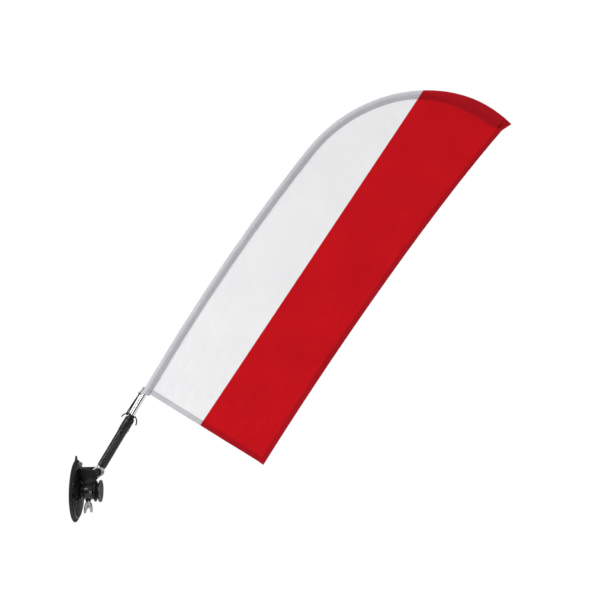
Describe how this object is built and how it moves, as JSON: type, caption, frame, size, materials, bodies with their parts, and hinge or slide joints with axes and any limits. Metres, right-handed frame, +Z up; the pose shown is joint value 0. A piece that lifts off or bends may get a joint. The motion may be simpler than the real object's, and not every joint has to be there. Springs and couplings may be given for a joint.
{
  "type": "feather flag",
  "caption": "Feather flag on a bent pole, which turns in a tilting arm held to glass or a smooth wall by a screw-down suction cup.",
  "frame": {"origin": "centre of the suction cup's sealing face, in the plane of the wall", "axes": "+X away from the wall, +Z up, Y across; the flag hangs in the XZ plane"},
  "size_m": [0.8081, 0.116, 0.7991],
  "materials": {
    "cup_rubber": "semi-gloss moulded rubber",
    "dome_plastic": "glossy black moulding",
    "black_plastic": "satin black moulding",
    "natural_nylon": "natural nylon",
    "zinc_steel": "zinc-plated steel",
    "black_steel": "black oxide",
    "brass_insert": "plain turned brass",
    "knob_metal": "satin aluminium",
    "cast_alloy": "die-cast, tumbled",
    "black_paint": "semi-gloss black powder coat",
    "bright_pole": "bright chrome",
    "rod_fibre": "pultruded glass fibre",
    "elastic_cord": "braided cover over rubber",
    "grey_tape": "woven tape",
    "white_cloth": "knitted polyester, printed",
    "white_hem_cloth": "doubled knitted polyester",
    "red_cloth": "knitted polyester, printed",
    "red_hem_cloth": "doubled knitted polyester",
    "seam_thread": "polyester thread"
  },
  "bodies": {
    "base": {"suction_cup": "cup_rubber", "cup_housing": "dome_plastic", "tether_eye": "zinc_steel", "thrust_washer": "zinc_steel"},
    "stud": {"draw_plate": "zinc_steel", "draw_stud": "zinc_steel"},
    "knob": {"knob_body": "black_plastic", "knob_insert": "brass_insert", "knob_cap": "knob_metal"},
    "bracket": {"swivel_collar": "black_paint", "retaining_screw": "zinc_steel", "tilt_bracket": "black_paint", "bracket_screws": "zinc_steel", "friction_washers": "cup_rubber", "pivot_bolt": "black_steel", "pivot_washer": "zinc_steel", "pivot_nut": "zinc_steel"},
    "wing": {"wing_screw": "cast_alloy"},
    "arm": {"arm_eye": "cast_alloy", "arm_tube": "black_paint", "eye_pin": "black_steel", "mouth_collar": "black_plastic", "pole_rest": "natural_nylon", "bearing_liner": "black_plastic"},
    "button": {"lock_button": "zinc_steel"},
    "pole": {"pole_foot": "natural_nylon", "lower_pole": "bright_pole", "pole_ferrule": "bright_pole", "flex_rod": "rod_fibre", "tip_cap": "cup_rubber", "hook_cap": "black_plastic", "anchor_hooks": "black_paint", "cap_grub_screw": "zinc_steel", "tension_cord": "elastic_cord", "cord_tab": "grey_tape", "sleeve_white": "white_hem_cloth", "sleeve_red": "red_hem_cloth", "tip_pocket": "red_hem_cloth", "white_field": "white_cloth", "red_field": "red_cloth", "bottom_hem_white": "white_hem_cloth", "bottom_hem_red": "red_hem_cloth", "fly_hem": "red_hem_cloth", "sleeve_thread": "seam_thread", "hem_thread": "seam_thread"}
  },
  "joints": [
    {"name": "stud_draw", "type": "slide", "parent": "base", "child": "stud", "axis": [1, 0, 0], "range_m": [0, 0.002]},
    {"name": "knob_turn", "type": "hinge", "parent": "base", "child": "knob", "pos_m": [0, 0, 0], "axis": [-1, 0, 0], "range_deg": [0, 576]},
    {"name": "collar_swivel", "type": "hinge", "parent": "base", "child": "bracket", "pos_m": [0, 0, 0], "axis": [1, 0, 0], "continuous": true},
    {"name": "wing_screw_turn", "type": "hinge", "parent": "bracket", "child": "wing", "pos_m": [0.02415, 0, 0], "axis": [0, 0, -1], "range_deg": [0, 360]},
    {"name": "arm_tilt", "type": "hinge", "parent": "bracket", "child": "arm", "pos_m": [0.043, 0, 0.036], "axis": [0, -1, 0], "range_deg": [-59, 31]},
    {"name": "button_press", "type": "slide", "parent": "arm", "child": "button", "axis": [-0.8572, 0, 0.515], "range_m": [0, 0.001], "stiffness_N_per_m": 400, "springref_m": -0.002},
    {"name": "pole_spin", "type": "hinge", "parent": "arm", "child": "pole", "pos_m": [0.043, 0, 0.036], "axis": [0.515, 0, 0.8572], "continuous": true}
  ],
  "couplings": [
    {"joint": "stud_draw", "follows": "knob_turn", "m_per_rad": 0.00019894}
  ]
}
